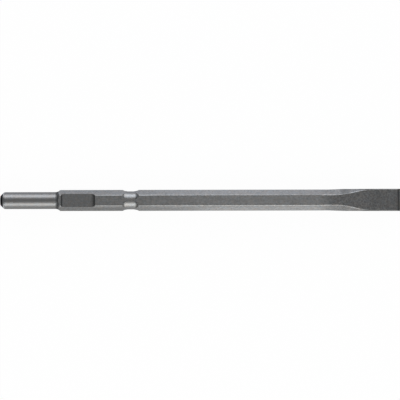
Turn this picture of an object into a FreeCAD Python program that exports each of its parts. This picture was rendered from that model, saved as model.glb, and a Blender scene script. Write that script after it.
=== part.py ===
import FreeCAD, Part
import os
from math import acos, atan2, cos, hypot, pi, sin, tan

import Sketcher

# Sizes of a flat chisel forged from one hexagon bar, in millimetres and degrees
SIZES = [
    ("total_length", 450, "striking face to cutting edge"),
    ("across_flats", 21, "hexagon bar, flat to flat"),
    ("bar_corner_radius", 2, "rolled corners of the bar"),
    ("tail_diameter", 19, "turned round tail"),
    ("tail_length", 64.4, "striking face to foot of the shoulder cone"),
    ("face_diameter", 10, "striking face inside its chamfer"),
    ("face_edge_radius", 1.5, "rounding from striking face to chamfer"),
    ("tail_chamfer", 4.5, "chamfer round the striking face, along the tail"),
    ("tail_edge_radius", 3, "rounding from chamfer to tail"),
    ("shoulder_angle", 37, "slope of the shoulder cone from the axis"),
    ("shoulder_root_radius", 6, "fillet from tail to shoulder cone"),
    ("notch_centre", 22.2, "shoulder foot to middle of the retaining notch's floor"),
    ("notch_floor_length", 30, "flat floor of the notch"),
    ("notch_depth", 2.4, "notch floor below the flat"),
    ("notch_stop_radius", 3, "steep end of the notch, beside the shoulder"),
    ("notch_ramp_radius", 8, "gentle end of the notch, beside the neck"),
    ("neck_centre", 82.4, "shoulder foot to middle of the neck"),
    ("neck_floor_length", 6.6, "straight bottom of the neck"),
    ("neck_diameter", 20.3, "smallest diameter of the neck"),
    ("neck_flank_radius", 12, "hollow flanks of the neck"),
    ("blade_length", 96, "start of the bend to the cutting edge"),
    ("blade_width", 25, "across the finished blade"),
    ("bend_length", 19.5, "stretch in which the faces turn into the wedge"),
    ("swell_start", 12, "start of the bend to where the sides begin to swell"),
    ("swell_length", 24, "stretch in which the sides swell to full width"),
    ("spread_start", 22, "start of the bend to where the faces begin to widen"),
    ("spread_length", 40, "stretch in which the faces widen"),
    ("side_draft", 5, "lean of the blade's forged sides"),
    ("blade_corner_radius", 1, "long corners of the blade"),
    ("blade_side_radius", 4, "crown along the middle of the blade's sides"),
    ("edge_thickness", 4.4, "blade where the cutting bevels start"),
    ("bevel_length", 3, "ground bevels, along the tool"),
    ("edge_land", 0.5, "blunt land left at the cutting edge"),
]

# The spread of the blade is set out on this many sections
STATIONS = 12


def add_sheet(doc):
    sheet = doc.addObject("Spreadsheet::Sheet", "Sizes")
    for row, (alias, number, note) in enumerate(SIZES, start=1):
        sheet.set(f"A{row}", alias)
        sheet.set(f"B{row}", str(number))
        sheet.set(f"C{row}", note)
        sheet.setAlias(f"B{row}", alias)
    doc.recompute()


# Sketch helpers: every size is text that is worked out from the sheet

def origin_plane(body, role):
    return next(item for item in body.Origin.OriginFeatures if item.Role == role)


def add_sketch(body, name, role):
    sketch = body.newObject("Sketcher::SketchObject", name)
    sketch.AttachmentSupport = [(origin_plane(body, role), "")]
    sketch.MapMode = "FlatFace"
    return sketch


def worth(sketch, *sizes):
    """What the sizes come to now, for geometry that starts where its dimensions will hold it."""
    return [float(sketch.evalExpression(size)) for size in sizes]


def bind(sketch, kind, *where, size):
    place = sketch.addConstraint(Sketcher.Constraint(kind, *where, *worth(sketch, size)))
    sketch.setExpression(f"Constraints[{place}]", size)


def relate(sketch, *constraints):
    for constraint in constraints:
        sketch.addConstraint(Sketcher.Constraint(*constraint))


def line(sketch, start, end):
    return sketch.addGeometry(Part.LineSegment(FreeCAD.Vector(*start), FreeCAD.Vector(*end)))


def arc(sketch, centre, radius, start_angle, end_angle):
    circle = Part.Circle(FreeCAD.Vector(*centre), FreeCAD.Vector(0, 0, 1), radius)
    return sketch.addGeometry(Part.ArcOfCircle(circle, start_angle, end_angle))


def add_outline(body, name, *corners):
    """A closed side view, anticlockwise: each corner is along, up and, if rounded, a radius."""
    sketch = add_sketch(body, name, "XZ_Plane")
    points = [FreeCAD.Vector(*worth(sketch, along, up)) for along, up, *_ in corners]
    enters = []
    leaves = []
    for count, (_, _, *rounding) in enumerate(corners):
        point = points[count]
        back = (points[count - 1] - point).normalize()
        ahead = (points[(count + 1) % len(points)] - point).normalize()
        trim = sum(worth(sketch, *rounding)) / tan(back.getAngle(ahead) / 2)
        enters.append(point + back * trim)
        leaves.append(point + ahead * trim)
    sides = [line(sketch, start, end) for start, end in zip(leaves, enters[1:] + enters[:1])]
    for count, (along, up, *rounding) in enumerate(corners):
        before = sides[count - 1]
        held = sides[count]
        if rounding:
            held = add_rounding(sketch, before, held, points[count], enters[count], leaves[count], *rounding)
        else:
            relate(sketch, ("Coincident", before, 2, held, 1))
        hold(sketch, held, along, up)
    return sketch


def add_rounding(sketch, before, after, point, enter, leave, radius):
    """A tangent arc in a corner, whose sharp point stays as a construction point."""
    radius_now, = worth(sketch, radius)
    inward = ((enter + leave) / 2 - point).normalize()
    centre = point + inward * hypot(radius_now, (enter - point).Length)
    turns_left = (enter - point).cross(leave - point).z < 0
    ends = (enter, leave) if turns_left else (leave, enter)
    start, end = (atan2(place.y - centre.y, place.x - centre.x) for place in ends)
    bend = arc(sketch, centre, radius_now, start, end)
    first, last = (1, 2) if turns_left else (2, 1)
    corner = sketch.addGeometry(Part.Point(point), True)
    relate(sketch,
           ("Tangent", before, 2, bend, first), ("Tangent", bend, last, after, 1),
           ("PointOnObject", corner, 1, before), ("PointOnObject", corner, 1, after))
    bind(sketch, "Radius", bend, size=radius)
    return corner


def hold(sketch, geometry, along, up):
    """Holds the start of a line, or a point, at its place from the striking face and the axis."""
    if along == "0":
        relate(sketch, ("PointOnObject", geometry, 1, -2))
    else:
        bind(sketch, "DistanceX", -1, 1, geometry, 1, size=along)
    if up == "0":
        relate(sketch, ("PointOnObject", geometry, 1, -1))
    else:
        bind(sketch, "DistanceY", -1, 1, geometry, 1, size=up)


# Hexagon bar: one rounded six-sided section serves the bar and every section of the blade

def add_section(body, name, place, half_height, half_flat, half_width, corner, side):
    """Two flats, rounded corners and leaning sides with a rounded middle, across the tool."""
    sketch = add_sketch(body, name, "YZ_Plane")
    sketch.setExpression("AttachmentOffset.Base.z", place)
    rise = f"({half_height}) - ({corner})"
    reach = f"({half_width}) - ({side})"
    rise_now, reach_now, half_flat_now, corner_now, side_now = (
        worth(sketch, rise, reach, half_flat, corner, side))
    lean = (atan2(rise_now, half_flat_now - reach_now)
            - acos((side_now - corner_now) / hypot(reach_now - half_flat_now, rise_now)))
    rounds = [
        (half_flat_now, -rise_now, corner_now, -pi / 2, -lean),
        (reach_now, 0, side_now, -lean, lean),
        (half_flat_now, rise_now, corner_now, lean, pi / 2),
        (-half_flat_now, rise_now, corner_now, pi / 2, pi - lean),
        (-reach_now, 0, side_now, pi - lean, pi + lean),
        (-half_flat_now, -rise_now, corner_now, pi + lean, 3 * pi / 2),
    ]
    for count, (across, up, radius, start, end) in enumerate(rounds):
        facing = FreeCAD.Vector(cos(start), sin(start))
        last_across, last_up, last_radius = rounds[count - 1][:3]
        line(sketch, FreeCAD.Vector(last_across, last_up) + facing * last_radius,
             FreeCAD.Vector(across, up) + facing * radius)
        arc(sketch, FreeCAD.Vector(across, up), radius, start, end)
    pieces = 2 * len(rounds)
    for piece in range(pieces):
        relate(sketch, ("Tangent", piece, 2, (piece + 1) % pieces, 1))
    low_right, right_side, top_right, top_left, left_side, low_left = range(1, pieces, 2)
    relate(sketch,
           ("Symmetric", top_right, 3, low_right, 3, -1), ("Symmetric", top_right, 3, top_left, 3, -2),
           ("Symmetric", low_right, 3, low_left, 3, -2), ("Symmetric", right_side, 3, left_side, 3, -2),
           ("PointOnObject", right_side, 3, -1), ("Equal", right_side, left_side))
    for other in (low_right, top_left, low_left):
        relate(sketch, ("Equal", top_right, other))
    bind(sketch, "Radius", top_right, size=corner)
    bind(sketch, "Radius", right_side, size=side)
    bind(sketch, "DistanceX", -1, 1, top_right, 3, size=half_flat)
    bind(sketch, "DistanceY", -1, 1, top_right, 3, size=rise)
    bind(sketch, "DistanceX", -1, 1, right_side, 3, size=reach)
    return sketch


def eased(first, last, share):
    """A size that eases from first to last while share goes from 0 to 1."""
    share = f"max(0; min(1; {share}))"
    return f"({first}) + (({last}) - ({first})) * ({share})^2 * (3 - 2 * ({share}))"


def add_blade_section(body, name, place):
    """The section at a place counted from the start of the bend, where it is still the bar's own."""
    half_bar = "Sizes.across_flats / 2"
    slope = (f"({half_bar} - Sizes.edge_thickness / 2)"
             " / (Sizes.blade_length - Sizes.bevel_length - Sizes.bend_length / 2)")
    bent = f"max(0; min(1; {place} / Sizes.bend_length))"
    straight = f"max(0; {place} - Sizes.bend_length)"
    half_height = (f"{half_bar} - {slope}"
                   f" * (Sizes.bend_length * (({bent})^3 - ({bent})^4 / 2) + {straight})")

    spread = f"({place} - Sizes.spread_start) / Sizes.spread_length"
    corner = eased("Sizes.bar_corner_radius", "Sizes.blade_corner_radius", spread)
    side = eased("Sizes.bar_corner_radius", "Sizes.blade_side_radius", spread)
    bar_half_flat = f"({half_bar} - Sizes.bar_corner_radius) / sqrt(3)"
    blade_half_flat = (f"Sizes.blade_width / 2 - ({side})"
                       f" - ((({half_height}) - ({corner})) * sin(Sizes.side_draft)"
                       f" - (({side}) - ({corner}))) / cos(Sizes.side_draft)")
    half_flat = eased(bar_half_flat, blade_half_flat, spread)

    bar_half_width = f"2 * {bar_half_flat} + Sizes.bar_corner_radius"
    swell = f"({place} - Sizes.swell_start) / Sizes.swell_length"
    half_width = eased(bar_half_width, "Sizes.blade_width / 2", swell)
    return add_section(body, name, f"Sizes.total_length - Sizes.blade_length + {place}",
                       half_height, half_flat, half_width, corner, side)


def add_bar(body):
    """The plain hexagon up to the bend, the forged spread, and a straight wedge to the edge."""
    reach = "(Sizes.spread_start + Sizes.spread_length)"
    sections = [add_blade_section(body, f"section_{count}", f"{reach} * {count} / {STATIONS}")
                for count in range(-1, STATIONS + 1)]
    edge = add_blade_section(body, "edge_section", "Sizes.blade_length")
    bar = body.newObject("PartDesign::Pad", "hexagon_bar")
    bar.Profile = sections[0]
    bar.Reversed = True
    bar.setExpression("Length", f"Sizes.total_length - Sizes.blade_length - {reach} / {STATIONS}")
    spread = body.newObject("PartDesign::AdditiveLoft", "forged_spread")
    spread.Profile = sections[0]
    spread.Sections = sections[1:]
    wedge = body.newObject("PartDesign::AdditiveLoft", "forged_wedge")
    wedge.Profile = sections[-1]
    wedge.Sections = [edge]
    wedge.Ruled = True


# Cuts: what is turned goes round the axis, what is milled or ground goes right across

def add_turned(body, name, sketch):
    groove = body.newObject("PartDesign::Groove", name)
    groove.Profile = sketch
    groove.ReferenceAxis = (sketch, ["H_Axis"])
    groove.Angle = 360
    return groove


def add_crosscut(body, name, sketch):
    pocket = body.newObject("PartDesign::Pocket", name)
    pocket.Profile = sketch
    pocket.Type = "ThroughAll"
    pocket.SideType = "Symmetric"
    return pocket


def add_bevels(body):
    """Two ground bevels that leave a narrow land between them at the cutting edge."""
    end = "Sizes.total_length"
    low = "Sizes.edge_land / 2"
    high = "Sizes.edge_thickness - Sizes.edge_land / 2"
    run_out = "Sizes.total_length - 2 * Sizes.bevel_length"
    sketch = add_outline(body, "bevel_outline", (end, low), (end, high), (run_out, high))
    bevel = add_crosscut(body, "top_bevel", sketch)
    mirror = body.newObject("PartDesign::Mirrored", "bottom_bevel")
    mirror.Originals = [bevel]
    mirror.MirrorPlane = (origin_plane(body, "XY_Plane"), [""])
    body.Tip = mirror


def add_tail(body):
    """A round tail with a chamfered striking face, up to the shoulder cone on the hexagon."""
    face = "Sizes.face_diameter / 2"
    tail = "Sizes.tail_diameter / 2"
    outside = "Sizes.across_flats"
    cone_end = f"Sizes.tail_length + ({outside} - {tail}) / tan(Sizes.shoulder_angle)"
    sketch = add_outline(body, "tail_outline",
                         (f"-{outside}", "0"), ("0", "0"),
                         ("0", face, "Sizes.face_edge_radius"),
                         ("Sizes.tail_chamfer", tail, "Sizes.tail_edge_radius"),
                         ("Sizes.tail_length", tail, "Sizes.shoulder_root_radius"),
                         (cone_end, outside), (f"-{outside}", outside))
    add_turned(body, "turned_tail", sketch)


def add_hollow(body, name, centre, floor, length, left_radius, right_radius):
    """The outline of a straight floor that ends in a quarter round at both ends."""
    left = f"Sizes.tail_length + {centre} - {length} / 2 - {left_radius}"
    right = f"Sizes.tail_length + {centre} + {length} / 2 + {right_radius}"
    top = f"{floor} + {left_radius} + {right_radius}"
    return add_outline(body, name, (left, floor, left_radius), (right, floor, right_radius),
                       (right, top), (left, top))


def add_neck(body):
    sketch = add_hollow(body, "neck_outline", "Sizes.neck_centre", "Sizes.neck_diameter / 2",
                        "Sizes.neck_floor_length", "Sizes.neck_flank_radius", "Sizes.neck_flank_radius")
    add_turned(body, "turned_neck", sketch)


def add_notch(body):
    """One flat only is milled, for the cross pin of a tool holder."""
    sketch = add_hollow(body, "notch_outline", "Sizes.notch_centre",
                        "Sizes.across_flats / 2 - Sizes.notch_depth",
                        "Sizes.notch_floor_length", "Sizes.notch_stop_radius", "Sizes.notch_ramp_radius")
    add_crosscut(body, "retaining_notch", sketch)


# The whole chisel lies on the flat opposite its notch, with its middle over the origin

def add_chisel(doc):
    body = doc.addObject("PartDesign::Body", "flat_chisel")
    add_bar(body)
    add_bevels(body)
    add_tail(body)
    add_neck(body)
    add_notch(body)
    body.setExpression("Placement.Base.x", "-Sizes.total_length / 2")
    body.setExpression("Placement.Base.z", "Sizes.across_flats / 2")
    return body


def check_features(doc, body):
    """Every object is sound, and every cut has taken something away."""
    for item in doc.Objects:
        if "Invalid" in item.State or "Error" in item.State:
            raise RuntimeError(f"{item.Label} failed: {item.State}")
    if body.Shape.isNull() or not body.Shape.isValid():
        raise RuntimeError(f"{body.Label} has no valid shape")
    solids = [item for item in body.Group if item.isDerivedFrom("PartDesign::Feature")]
    for before, after in zip(solids, solids[1:]):
        grows = after.isDerivedFrom("PartDesign::AdditiveLoft")
        if (after.Shape.Volume > before.Shape.Volume) != grows:
            raise RuntimeError(f"{after.Label} points the wrong way")


def main():
    doc = FreeCAD.newDocument("chisel")
    add_sheet(doc)
    body = add_chisel(doc)
    doc.recompute()
    check_features(doc, body)
    os.makedirs("parts", exist_ok=True)
    body.Shape.exportStep(f"parts/{body.Label}.step")
    print(body.Label, round(body.Shape.Volume), "mm3")


main()
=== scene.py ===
from math import acos, atan2, cos, hypot, pi, radians, sin, tan

import bmesh
import bpy
from mathutils import Matrix, noise


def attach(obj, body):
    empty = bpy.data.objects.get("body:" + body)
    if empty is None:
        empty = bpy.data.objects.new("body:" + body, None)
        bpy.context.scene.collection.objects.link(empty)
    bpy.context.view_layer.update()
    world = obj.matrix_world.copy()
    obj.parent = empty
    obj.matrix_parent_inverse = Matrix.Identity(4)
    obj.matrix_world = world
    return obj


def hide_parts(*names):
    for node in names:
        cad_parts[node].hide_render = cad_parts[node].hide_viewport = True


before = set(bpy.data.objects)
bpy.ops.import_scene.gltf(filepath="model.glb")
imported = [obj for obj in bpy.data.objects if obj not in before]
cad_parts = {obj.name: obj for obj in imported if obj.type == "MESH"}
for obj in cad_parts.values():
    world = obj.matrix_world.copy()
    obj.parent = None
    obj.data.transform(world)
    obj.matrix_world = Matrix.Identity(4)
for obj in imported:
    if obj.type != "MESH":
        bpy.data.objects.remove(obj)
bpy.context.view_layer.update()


# Forged blank. The real chisel starts as a length of drawn hexagon bar with rounded corners.
# Its end is heated and hammered into a wedge that swells sideways, so the skin there is dull
# scale. It is modelled in millimetres, along X from the striking face, round the bar's axis.
LENGTH = 450
ACROSS_FLATS = 21
BAR_CORNER = 2
BLADE_LENGTH = 96
BLADE_WIDTH = 25
BEND_LENGTH = 19.5
SWELL_START = 12
SWELL_LENGTH = 24
SPREAD_START = 22
SPREAD_LENGTH = 40
SIDE_DRAFT = radians(5)
BLADE_CORNER = 1
BLADE_CROWN = 4
EDGE_THICKNESS = 4.4
BEVEL_LENGTH = 3
EDGE_LAND = 0.5
SAW_SPARE = 5
FORGE_STEP = 1.2
FLAT_STRIPS = 8
CORNER_STEPS = 5
HAMMER_DEPTH = 0.2
HAMMER_MARK = 6
HAMMER_FADE = 30
HALF_BAR = ACROSS_FLATS / 2
BEND_START = LENGTH - BLADE_LENGTH
BEVEL_START = BLADE_LENGTH - BEVEL_LENGTH
TOUCH = 0.001
MM = 0.001


def eased(first, last, share):
    """A size that eases from first to last while share goes from 0 to 1."""
    share = max(0, min(1, share))
    return first + (last - first) * share ** 2 * (3 - 2 * share)


def half_thickness(bent):
    """Half the blank's height: level on the bar, bent smoothly, then straight down to the edge."""
    turn = max(0, min(1, bent / BEND_LENGTH))
    slope = (HALF_BAR - EDGE_THICKNESS / 2) / (BEVEL_START - BEND_LENGTH / 2)
    return HALF_BAR - slope * (BEND_LENGTH * (turn ** 3 - turn ** 4 / 2)
                               + max(0, bent - BEND_LENGTH))


def round_off(shape, corners, radius):
    """Rounds flat corners: the cut along each side follows from the angle between the sides."""
    middle = corners[0]
    ahead, behind = (edge.other_vert(middle).co - middle.co for edge in middle.link_edges)
    rounded = bmesh.ops.bevel(shape, geom=corners, offset=radius / tan(ahead.angle(behind) / 2),
                              offset_type="OFFSET", segments=CORNER_STEPS, profile=0.5,
                              affect="VERTICES", material=-1)
    return rounded["verts"][0].link_faces[0]


def add_section(shape, along):
    """One rounded six-sided section across the blank, as an open ring of edges."""
    bent = along - BEND_START
    height = half_thickness(bent)
    spread = (bent - SPREAD_START) / SPREAD_LENGTH
    corner = eased(BAR_CORNER, BLADE_CORNER, spread)
    crown = eased(BAR_CORNER, BLADE_CROWN, spread)
    rise = height - corner
    bar_flat = (HALF_BAR - BAR_CORNER) / 3 ** 0.5
    blade_flat = (BLADE_WIDTH / 2 - crown
                  - (rise * sin(SIDE_DRAFT) - (crown - corner)) / cos(SIDE_DRAFT))
    flat = eased(bar_flat, blade_flat, spread)
    reach = eased(2 * bar_flat + BAR_CORNER, BLADE_WIDTH / 2,
                  (bent - SWELL_START) / SWELL_LENGTH) - crown
    # The slanted face touches both roundings, and the sharp corners lie where its plane meets
    # the middle height and the flats
    lean = atan2(rise, flat - reach) - acos((crown - corner) / hypot(flat - reach, rise))
    face_distance = flat * cos(lean) + rise * sin(lean) + corner
    side = face_distance / cos(lean)
    top = (face_distance - height * sin(lean)) / cos(lean)
    ring = bmesh.ops.create_circle(shape, cap_ends=True, segments=6, radius=1)["verts"]
    places = [(side, 0), (top, height), (-top, height), (-side, 0), (-top, -height), (top, -height)]
    for vert, (across, up) in zip(ring, places):
        vert.co = along, across, up
    round_off(shape, [ring[0], ring[3]], crown)
    face = round_off(shape, [ring[1], ring[2], ring[4], ring[5]], corner)
    sides = list(face.edges)
    shape.faces.remove(face)
    flats = [edge for edge in sides
             if all(abs(abs(vert.co.z) - height) < TOUCH for vert in edge.verts)]
    strips = bmesh.ops.subdivide_edges(shape, edges=flats, cuts=FLAT_STRIPS - 1)["geom_split"]
    strips = [edge for edge in strips if isinstance(edge, bmesh.types.BMEdge)]
    return list(dict.fromkeys(sides + strips))


def hammer(shape):
    """Dents the hot end inwards in shallow marks, each about as wide as a power hammer leaves."""
    shape.normal_update()
    dents = [vert.normal * eased(0, HAMMER_DEPTH / 2, (vert.co.x - BEND_START) / HAMMER_FADE)
             * (1 + noise.noise(vert.co / HAMMER_MARK)) for vert in shape.verts]
    for vert, dent in zip(shape.verts, dents):
        vert.co -= dent


blank = bmesh.new()
forge_steps = round((BLADE_LENGTH + SAW_SPARE) / FORGE_STEP)
stations = [-SAW_SPARE, BEND_START / 2] + [
    BEND_START + FORGE_STEP * count for count in range(forge_steps + 1)]
sections = [add_section(blank, along) for along in stations]
for before, after in zip(sections, sections[1:]):
    bmesh.ops.bridge_loops(blank, edges=before + after)
bmesh.ops.holes_fill(blank, edges=sections[0] + sections[-1])
bmesh.ops.recalc_face_normals(blank, faces=blank.faces)
hammer(blank)


class Shade:
    """A value that varies over a surface. What is written with it becomes nodes."""

    def __init__(self, tree, socket=None):
        self.tree = tree
        self.socket = socket

    def node(self, kind, settings=None, values=None, output=0):
        """Any node, from its type, its settings and its sockets' values or links."""
        made = self.tree.nodes.new("ShaderNode" + kind)
        for name, setting in (settings or {}).items():
            setattr(made, name, setting)
        for name, value in (values or {}).items():
            if isinstance(value, Shade):
                self.tree.links.new(value.socket, made.inputs[name])
            else:
                made.inputs[name].default_value = value
        return Shade(self.tree, made.outputs[output] if made.outputs else None)

    def math(self, operation, *terms):
        """A Math node over some terms, or over this value alone."""
        return self.node("Math", {"operation": operation}, dict(enumerate(terms or (self,))))

    def __add__(self, other):
        return self.math("ADD", self, other)

    def __sub__(self, other):
        return self.math("SUBTRACT", self, other)

    def __rsub__(self, other):
        return self.math("SUBTRACT", other, self)

    def __mul__(self, other):
        return self.math("MULTIPLY", self, other)

    __radd__ = __add__
    __rmul__ = __mul__

    def rise(self, low, high, first=0.0, last=1.0):
        """Eases from first to last as this value goes from low to high."""
        return self.node("MapRange", {"interpolation_type": "SMOOTHSTEP"},
                         {"Value": self, "From Min": low, "From Max": high,
                          "To Min": first, "To Max": last})

    def band(self, start, full, fade, end):
        """Eases up to 1 while this value goes from start to full, and back from fade to end."""
        return self.rise(start, full) * self.rise(fade, end, 1.0, 0.0)

    def noise(self, patch, detail=3.0, roughness=0.6):
        """Even noise from 0 to 1 over this place, in patches of a size along each axis."""
        squeezed = self.node("VectorMath", {"operation": "DIVIDE"}, {0: self, 1: patch})
        return self.node("TexNoise", None, {"Vector": squeezed, "Scale": 1.0, "Detail": detail,
                                            "Roughness": roughness})

    def parts(self):
        """The X, Y and Z of this place or direction."""
        split = self.node("SeparateXYZ", None, {"Vector": self})
        return [Shade(self.tree, part) for part in split.socket.node.outputs]

    def blend(self, first, last):
        """A colour between two, by this value. Sockets 6 and 7 and output 2 are the colours."""
        return self.node("Mix", {"data_type": "RGBA"}, {0: self, 6: first, 7: last}, output=2)


COOL_STEEL = (0.96, 1.0, 1.03, 1)
WARM_STEEL = (1.03, 1.0, 0.97, 1)
DULL_RIM = (0.6, 0.6, 0.6, 1)
TINT_PATCH = (5, 3, 3)


def start_finish(name):
    """An empty material, and the place on the tool in millimetres from the middle of its foot."""
    material = bpy.data.materials.new(name)
    material.use_nodes = True
    material.node_tree.nodes.clear()
    shade = Shade(material.node_tree)
    place = shade.node("TexCoord", output="Object")
    return material, shade.node("VectorMath", {"operation": "MULTIPLY"}, {0: place, 1: (1 / MM,) * 3})


def finish_steel(place, tone, roughness, height, depth):
    """Bare steel: a tone that drifts from cool to warm in patches, a gloss, and a relief."""
    drift = place.noise(TINT_PATCH, 2.0).rise(0.3, 0.7)
    tint = drift.blend(COOL_STEEL, WARM_STEEL)
    colour = tint.node("VectorMath", {"operation": "SCALE"}, {0: tint, "Scale": tone})
    relief = place.node("Bump", None, {"Height": height, "Distance": depth, "Strength": 1.0})
    steel = place.node("BsdfPrincipled", None, {
        "Base Color": colour, "Metallic": 1.0, "Roughness": roughness, "Normal": relief,
        "Specular Tint": DULL_RIM})
    place.node("OutputMaterial", None, {"Surface": steel})


# The finish along the bar: drawn steel with its rolled corners dull, and painted light and
# shade on its ridges and faces. Places along it are in millimetres from the striking face,
# and left is seen from there
DRAWN_TONE = 0.2
DRAWN_GRAIN = (40, 0.6, 0.6)
MOTTLE_PATCH = (1.8, 1.8, 1.8)
SPECK_PATCH = (0.5, 0.5, 0.5)
LEVEL_SHARE = 0.865
SLANTED_PAINTED_LIGHT = 0.2
CORNER_LOSS = 0.28
FORGED_GLOSS = 0.42
FORGED_RELIEF = 0.04 * MM

forged, place = start_finish("drawn_and_forged_steel")
along, across, up = place.parts()
from_face = along + LENGTH / 2
above = up - HALF_BAR
grain = place.noise(DRAWN_GRAIN, 4.0)
mottle = place.noise(MOTTLE_PATCH, 4.0, 0.7).rise(0.25, 0.75)
speck = place.noise(SPECK_PATCH, 2.0)

# A flat's normal stands straight up, at 1, a slanted face's at 0.5, and a ridge's in between
upright = place.node("NewGeometry", output="Normal").parts()[2].math("ABSOLUTE")
slanted = upright.rise(0.95, 0.99, 1.0, 0.0)
ridge = upright.band(0.52, 0.6, 0.985, 0.995)
left = across.rise(-2, 2)
right = 1 - left

# Painted highlight on the ridges: on the left lighter towards the tail and darker towards the blade,
# on the right darker on the flat's side of each ridge and lighter on the slanted side
left_ridge_painted_light = from_face.rise(165, 245, 0.12, -0.1) - from_face.rise(315, 355, 0.0, 0.15)
right_ridge_painted_light = upright.rise(0.86, 0.93, 0.15, -0.4)
ridge_painted_light = ridge * (left * left_ridge_painted_light + right * right_ridge_painted_light)
# Painted shade: the left slanted faces lose some of their painted light towards the blade, and the
# right slanted face is darker towards the tail
left_painted_shade = left * from_face.rise(285, 325, 0.02, 0.08)
right_painted_shade = from_face.rise(139, 155, 0.15, 0.0) + from_face.rise(205, 245, 0.1, -0.08)
right_painted_shade = right_painted_shade * across.rise(-8.3, -7.3, 1.0, 0.0)
corner = (across * across + above * above + mottle * 4).rise(134, 139)
# The bar is painted darker towards the tail, painted shade, and its slanted faces are painted lighter
# than its flats, painted light
drawn = (DRAWN_TONE + grain * 0.06 + mottle * 0.16) * from_face.rise(130, 255, 0.85, 1.05)
drawn = drawn * (1 + ridge_painted_light) * (LEVEL_SHARE + slanted * (SLANTED_PAINTED_LIGHT - left_painted_shade))
drawn = drawn * (1 - right_painted_shade) * (1 - corner * CORNER_LOSS)

# Past the bend it turns into hammered skin. Its ridges get a painted highlight and its slanted
# faces painted light, weaker where the swell begins, and the blade's sides painted shade,
# darkest of all
SKIN_TONE = 0.1
SKIN_START = 2
SKIN_FULL = 25
RIDGE_PAINTED_HIGHLIGHT = 0.25
SKIN_SLANTED_PAINTED_LIGHT = 0.42
SIDE_PAINTED_SHADE = 0.9

bent = from_face - BEND_START
# The slanted faces' painted light is weaker where the swell begins
weaker_slanted_light = bent.band(26, 32, 37, 41) * (0.15 + left * 0.3)
# Painted shade on the blade's near-upright sides
blade_side = upright.rise(0.7, 0.95, 1.0, 0.0) * bent.rise(49, 61)
skin = (SKIN_TONE + mottle * 0.111) * bent.rise(51, 71, 1.08, 1.0)
skin = skin * bent.rise(BEVEL_START - 1.2, BEVEL_START, 1.0, 0.7)
skin = skin * (1 + ridge * bent.rise(33, 42, 0.0, RIDGE_PAINTED_HIGHLIGHT))
skin = skin * (1 + slanted * (SKIN_SLANTED_PAINTED_LIGHT + left * 0.1 - weaker_slanted_light)) * (1 - blade_side * SIDE_PAINTED_SHADE)
scaled = (bent + mottle * 6).rise(SKIN_START, SKIN_FULL)
tone = drawn * (1 - scaled) + skin * scaled
gloss = FORGED_GLOSS + grain * 0.04 + scaled * (0.04 + mottle * 0.08)
relief = grain * (1 - scaled) + (mottle + speck) * scaled
finish_steel(place, tone, gloss, relief, FORGED_RELIEF)


# Cutting edge. The forged wedge is sawn square and ground on both faces to a blunt straight
# edge: three flat cuts right across the blade, each face bright from the wheel.
GROUND = 1
GROUND_TONE = 0.125
GROUND_GLOSS = 0.24
GROUND_RELIEF = 0.01 * MM
WHEEL_SCRATCH = (8, 0.15, 8)


def grind(shape, point, facing):
    """Takes off what lies past a plane and closes the cut with a ground face."""
    cut = bmesh.ops.bisect_plane(shape, geom=shape.verts[:] + shape.edges[:] + shape.faces[:],
                                 plane_co=point, plane_no=facing, clear_outer=True, dist=TOUCH / 10)
    rim = [item for item in cut["geom_cut"] if isinstance(item, bmesh.types.BMEdge)]
    for face in bmesh.ops.holes_fill(shape, edges=rim)["faces"]:
        face.material_index = GROUND


def make_piece(name, shape):
    """An object in the scene from a finished shape, with its place in its mesh."""
    mesh = bpy.data.meshes.new(name)
    shape.to_mesh(mesh)
    shape.free()
    piece = bpy.data.objects.new(name, mesh)
    bpy.context.scene.collection.objects.link(piece)
    return piece


grind(blank, (LENGTH, 0, 0), (1, 0, 0))
for top_or_bottom in (1, -1):
    grind(blank, (LENGTH, 0, top_or_bottom * EDGE_LAND / 2),
          ((EDGE_THICKNESS - EDGE_LAND) / 2, 0, top_or_bottom * BEVEL_LENGTH))

chisel = make_piece("chisel", blank)
chisel.data.materials.append(forged)

ground, place = start_finish("ground_steel")
scratches = place.noise(WHEEL_SCRATCH, 3.0)
from_face = place.parts()[0] + LENGTH / 2
# The ground faces are painted lighter in the last millimetre before the edge, a painted highlight
# where the edge turns
tone = (GROUND_TONE + scratches * 0.085) * from_face.rise(LENGTH - 1.8, LENGTH - 0.6, 0.95, 1.5)
finish_steel(place, tone, GROUND_GLOSS + scratches * 0.1, scratches, GROUND_RELIEF)
chisel.data.materials.append(ground)


# Turned shank. In a lathe the bar's other end becomes a round tail with a chamfered striking
# face and a cone up to the hexagon, and a shallow neck is turned for the holder's collar.
TURNED = 2
TAIL_RADIUS = 9.5
TAIL_LENGTH = 64.4
FACE_RADIUS = 5
FACE_ROUNDING = 1.5
TAIL_CHAMFER = 4.5
TAIL_ROUNDING = 3
SHOULDER_SLOPE = radians(37)
SHOULDER_ROOT = 6
NECK_MIDDLE = TAIL_LENGTH + 82.4
NECK_FLOOR = 6.6
NECK_RADIUS = 10.15
NECK_FLANK = 12
LATHE_REACH = 24
LATHE_STEPS = 160


def add_outline(shape, corners):
    """A closed flat outline in the plane of X and Z: along, up and, where rounded, a radius."""
    verts = [shape.verts.new((along, 0, up)) for along, up, *_ in corners]
    face = shape.faces.new(verts)
    for vert, (_, _, *rounding) in zip(verts, corners):
        if rounding:
            face = round_off(shape, [vert], *rounding)
    return face


def shape_with(piece, tool, operation, finish):
    """Keeps what a solid tool covers of a piece, or takes it off; the cut gets the tool's finish."""
    for face in tool.data.polygons:
        face.material_index = finish
    cut = piece.modifiers.new("cut", "BOOLEAN")
    cut.operation = operation
    cut.solver = "EXACT"
    cut.object = tool
    scene_now = bpy.context.evaluated_depsgraph_get()
    whole = bpy.data.meshes.new_from_object(piece.evaluated_get(scene_now))
    piece.modifiers.remove(cut)
    piece.data = whole
    bpy.data.objects.remove(tool)


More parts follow.
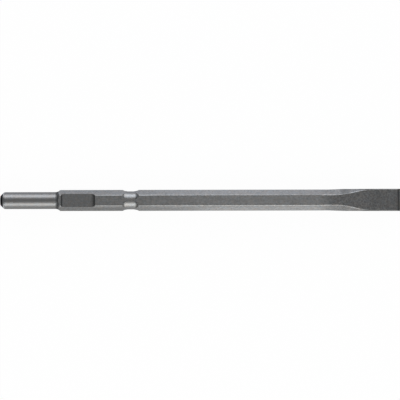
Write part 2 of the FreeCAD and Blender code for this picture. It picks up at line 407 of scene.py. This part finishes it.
lathe = bmesh.new()
cone_end = TAIL_LENGTH + (LATHE_REACH - TAIL_RADIUS) / tan(SHOULDER_SLOPE)
neck_half = NECK_FLOOR / 2 + NECK_FLANK
outline = add_outline(lathe, [
    (0, 0), (0, FACE_RADIUS, FACE_ROUNDING), (TAIL_CHAMFER, TAIL_RADIUS, TAIL_ROUNDING),
    (TAIL_LENGTH, TAIL_RADIUS, SHOULDER_ROOT), (cone_end, LATHE_REACH),
    (NECK_MIDDLE - neck_half, LATHE_REACH), (NECK_MIDDLE - neck_half, NECK_RADIUS, NECK_FLANK),
    (NECK_MIDDLE + neck_half, NECK_RADIUS, NECK_FLANK), (NECK_MIDDLE + neck_half, LATHE_REACH),
    (LENGTH + SAW_SPARE, LATHE_REACH), (LENGTH + SAW_SPARE, 0)])
profile = [edge for edge in outline.edges if max(vert.co.z for vert in edge.verts) > TOUCH]
bmesh.ops.delete(lathe, geom=[outline], context="FACES_ONLY")
bmesh.ops.spin(lathe, geom=profile, axis=(1, 0, 0), cent=(0, 0, 0), angle=2 * pi,
               steps=LATHE_STEPS, use_merge=True)
bmesh.ops.remove_doubles(lathe, verts=lathe.verts, dist=TOUCH)
loose = [edge for edge in lathe.edges if not edge.link_faces]
bmesh.ops.delete(lathe, geom=loose, context="EDGES")
bmesh.ops.recalc_face_normals(lathe, faces=lathe.faces)

# Ground bright after hardening on the tail, its striking face and the neck, with fine rings
TURNED_TONE = 0.138
TURNED_GLOSS = 0.34
TURNED_RELIEF = 0.01 * MM
RING_PATCH = (0.15, 60, 60)
BAND_PATCH = (2.5, 80, 80)
BLOTCH_PATCH = (3, 2, 2)
FACE_RINGS = 4

turned, place = start_finish("turned_steel")
along, across, up = place.parts()
from_face = along + LENGTH / 2
above = up - HALF_BAR
radius = (across * across + above * above).math("SQRT")
facing = place.node("TexNoise", {"noise_dimensions": "1D"},
                    {"W": radius * FACE_RINGS, "Scale": 1.0, "Detail": 3.0})
face = from_face.rise(0.1, 0.4, 1.0, 0.0)
rings = place.noise(RING_PATCH, 3.0) * (1 - face) + facing * face
bands = place.noise(BAND_PATCH, 2.0)
blotch = place.noise(BLOTCH_PATCH, 3.0)

# The chamfer is darkened almost to black and the cone's root darker, the neck's flanks get
# painted shade where they tilt towards the dim ends of the room, and the rim behind the
# chamfer gets a painted highlight, least along the top
CHAMFER_LOSS = 0.95
NECK_GAIN = 0.2
FLANK_PAINTED_SHADE = 0.8
FLANK_SHIFT = 0.7

aside = across * across
chamfer = from_face.band(0.3, 0.8, 3.3, 3.6)
# Painted highlight on the rim behind the chamfer, strongest at its sides
rim = from_face.band(3.4, 3.7, 4.2, 5.2) * aside.rise(4, 20, 0.5, 1.4)
root = (from_face - TAIL_LENGTH).band(-2.8, -0.8, 1.0, 3.0) * aside.rise(2, 16, 0.2, 0.6)
neck = from_face.rise(115, 125)
from_neck = from_face - (NECK_MIDDLE - FLANK_SHIFT)
# Painted shade on the neck's flanks
flank_painted_shade = (from_neck * from_neck).rise(27, 53)
tone = TURNED_TONE + rings * 0.05 + bands * 0.03 + blotch * 0.06
tone = tone * (1 + neck * (NECK_GAIN - flank_painted_shade * FLANK_PAINTED_SHADE)) * (1 - root)
tone = tone * (1 - chamfer * CHAMFER_LOSS) * (1 + rim)
finish_steel(place, tone, TURNED_GLOSS + rings * 0.08, rings, TURNED_RELIEF)
chisel.data.materials.append(turned)
shape_with(chisel, make_piece("lathe_envelope", lathe), "INTERSECT", TURNED)


# Retaining notch. One flat is milled down for the holder's cross pin: a long floor with a
# tight round end by the shoulder and a longer ramp by the neck, the cutter's marks across it.
MILLED = 3
NOTCH_MIDDLE = TAIL_LENGTH + 22.2
NOTCH_FLOOR = 30
NOTCH_DEPTH = 2.4
NOTCH_STOP = 3
NOTCH_RAMP = 8
CUTTER_HALF_WIDTH = 16
CUTTER_TOP = 2 * ACROSS_FLATS
MILLED_TONE = 0.156
MILLED_GLOSS = 0.34
MILLED_RELIEF = 0.01 * MM
STROKE_PATCH = (0.4, 12, 12)

cutter = bmesh.new()
floor_height = HALF_BAR - NOTCH_DEPTH
notch_start = NOTCH_MIDDLE - NOTCH_FLOOR / 2 - NOTCH_STOP
notch_end = NOTCH_MIDDLE + NOTCH_FLOOR / 2 + NOTCH_RAMP
outline = add_outline(cutter, [
    (notch_start, floor_height, NOTCH_STOP), (notch_end, floor_height, NOTCH_RAMP),
    (notch_end, CUTTER_TOP), (notch_start, CUTTER_TOP)])
bmesh.ops.translate(cutter, verts=outline.verts, vec=(0, -CUTTER_HALF_WIDTH, 0))
swept = bmesh.ops.extrude_face_region(cutter, geom=[outline])["geom"]
bmesh.ops.translate(cutter, verts=[item for item in swept if isinstance(item, bmesh.types.BMVert)],
                    vec=(0, 2 * CUTTER_HALF_WIDTH, 0))
bmesh.ops.recalc_face_normals(cutter, faces=cutter.faces)

milled, place = start_finish("milled_steel")
up = place.parts()[2]
over_floor = up - (ACROSS_FLATS - NOTCH_DEPTH)
strokes = place.noise(STROKE_PATCH, 3.0)
blotch = place.noise(MOTTLE_PATCH, 4.0, 0.7).rise(0.25, 0.75)
# The steel is painted darker where the floor rises into its ends, painted shade on the ramps
tone = (MILLED_TONE + strokes * 0.047 + blotch * 0.066) * over_floor.rise(0.1, 1.8, 1.0, 0.6)
finish_steel(place, tone, MILLED_GLOSS + strokes * 0.08, strokes, MILLED_RELIEF)
chisel.data.materials.append(milled)
shape_with(chisel, make_piece("milling_cutter", cutter), "DIFFERENCE", MILLED)

# The finished solid goes to its place in metres, on the flat opposite the notch
SHARP_ANGLE = radians(24)
FLAT_WEIGHT = 80
chisel.data.transform(Matrix.Translation((-LENGTH / 2, 0, HALF_BAR)))
chisel.data.transform(Matrix.Scale(MM, 4))
chisel.data.polygons.foreach_set("use_smooth", [True] * len(chisel.data.polygons))
chisel.data.set_sharp_from_angle(angle=SHARP_ANGLE)
weighting = chisel.modifiers.new("even_shading", "WEIGHTED_NORMAL")
weighting.keep_sharp = True
weighting.weight = FLAT_WEIGHT

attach(chisel, "root")
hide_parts("flat_chisel")


# Studio. The chisel lies on a white paper table and is seen from straight above, between two
# long soft lights at its sides. The room over it is dimmer, dimmer still past its ends, and its
# low walls are pale.
PAPER = (0.8, 0.8, 0.8, 1)
WHITE = (1, 1, 1, 1)
COOL_WHITE = (0.91, 0.93, 1, 1)
PAPER_SHOWN = 0.97
TABLE_SIZE = 4

table_shape = bmesh.new()
bmesh.ops.create_grid(table_shape, x_segments=1, y_segments=1, size=TABLE_SIZE)
table = make_piece("table_top", table_shape)
paper = bpy.data.materials.new("white_paper")
paper.use_nodes = True
paper.node_tree.nodes.clear()
shade = Shade(paper.node_tree)
seen = shade.node("LightPath", output="Is Camera Ray")
mirrored = shade.node("LightPath", output="Is Glossy Ray")
through = shade.node("LightPath", output="Is Transmission Ray")
direct = seen + mirrored + through
lit = shade.node("BsdfDiffuse", None, {"Color": PAPER})

# In the steel, the table's left half looks a little cooler than its right half
left = shade.node("TexCoord", output="Object").parts()[1].rise(-0.02, 0.02)
white = shade.node("Emission", None, {"Color": (mirrored * left).blend(WHITE, COOL_WHITE),
                                      "Strength": 1.0})
bright = direct.math("MINIMUM", direct, 1.0) * PAPER_SHOWN
sheet = shade.node("MixShader", None, {0: bright, 1: lit, 2: white})
shade.node("OutputMaterial", None, {"Surface": sheet})
table.data.materials.append(paper)

LIGHT_LENGTH = 1.6
LIGHT_HEIGHT = 0.7
LIGHT_AWAY = 1.0
LIGHT_RISE = radians(32)
LIGHT_LEAN = radians(4)
LIGHT_RADIANCE = 2.6
LEFT_LIGHT = (0.96, 0.98, 1.03)
RIGHT_LIGHT = (1.0, 1.0, 0.98)
for side, colour in ((1, LEFT_LIGHT), (-1, RIGHT_LIGHT)):
    lamp = bpy.data.lights.new("side_light", "AREA")
    lamp.shape = "RECTANGLE"
    lamp.size = LIGHT_LENGTH
    lamp.size_y = LIGHT_HEIGHT
    lamp.energy = LIGHT_RADIANCE * pi * LIGHT_LENGTH * LIGHT_HEIGHT
    lamp.color = colour
    light = bpy.data.objects.new("side_light", lamp)
    bpy.context.scene.collection.objects.link(light)
    rise = LIGHT_RISE - side * LIGHT_LEAN
    light.location = 0, side * LIGHT_AWAY * cos(rise), LIGHT_AWAY * sin(rise)
    light.rotation_euler = side * (rise - pi / 2), 0, 0

OVERHEAD = 0.41
PAST_TAIL = 0.085
EDGE_SHARE = 0.25
LOW_WALLS = 0.35
room = bpy.data.worlds.new("room")
bpy.context.scene.world = room
room.use_nodes = True
room.node_tree.nodes.clear()
shade = Shade(room.node_tree)
lengthways, _, upwards = shade.node("TexCoord", output="Generated").parts()
ends = lengthways.rise(-1.0, -0.1, PAST_TAIL, OVERHEAD) * lengthways.rise(0.4, 1.0, 1.0, EDGE_SHARE)
walls = upwards.rise(0.1, 0.4, LOW_WALLS, 0.0)
sky = shade.node("Background", None, {"Color": ends + walls, "Strength": 1.0})
shade.node("OutputWorld", None, {"Surface": sky})


# Camera. It hangs above the middle with a long lens, so the tool spans the frame from end to
# end with next to no perspective, turned a hair so that the blade's end sits a little higher.
LENS = 200
FRAME_WIDTH = 0.45
FROM_MIDDLE = (-0.00034, 0.00028)
ROLL = radians(-0.12)
FARTHEST = 20
camera_data = bpy.data.cameras.new("camera")
camera_data.lens = LENS
camera_data.clip_end = FARTHEST
camera = bpy.data.objects.new("camera", camera_data)
bpy.context.scene.collection.objects.link(camera)
camera.location = *FROM_MIDDLE, HALF_BAR * MM + FRAME_WIDTH * LENS / camera_data.sensor_width
camera.rotation_euler = 0, 0, ROLL
bpy.context.scene.camera = camera
bpy.context.scene.view_settings.view_transform = "Standard"
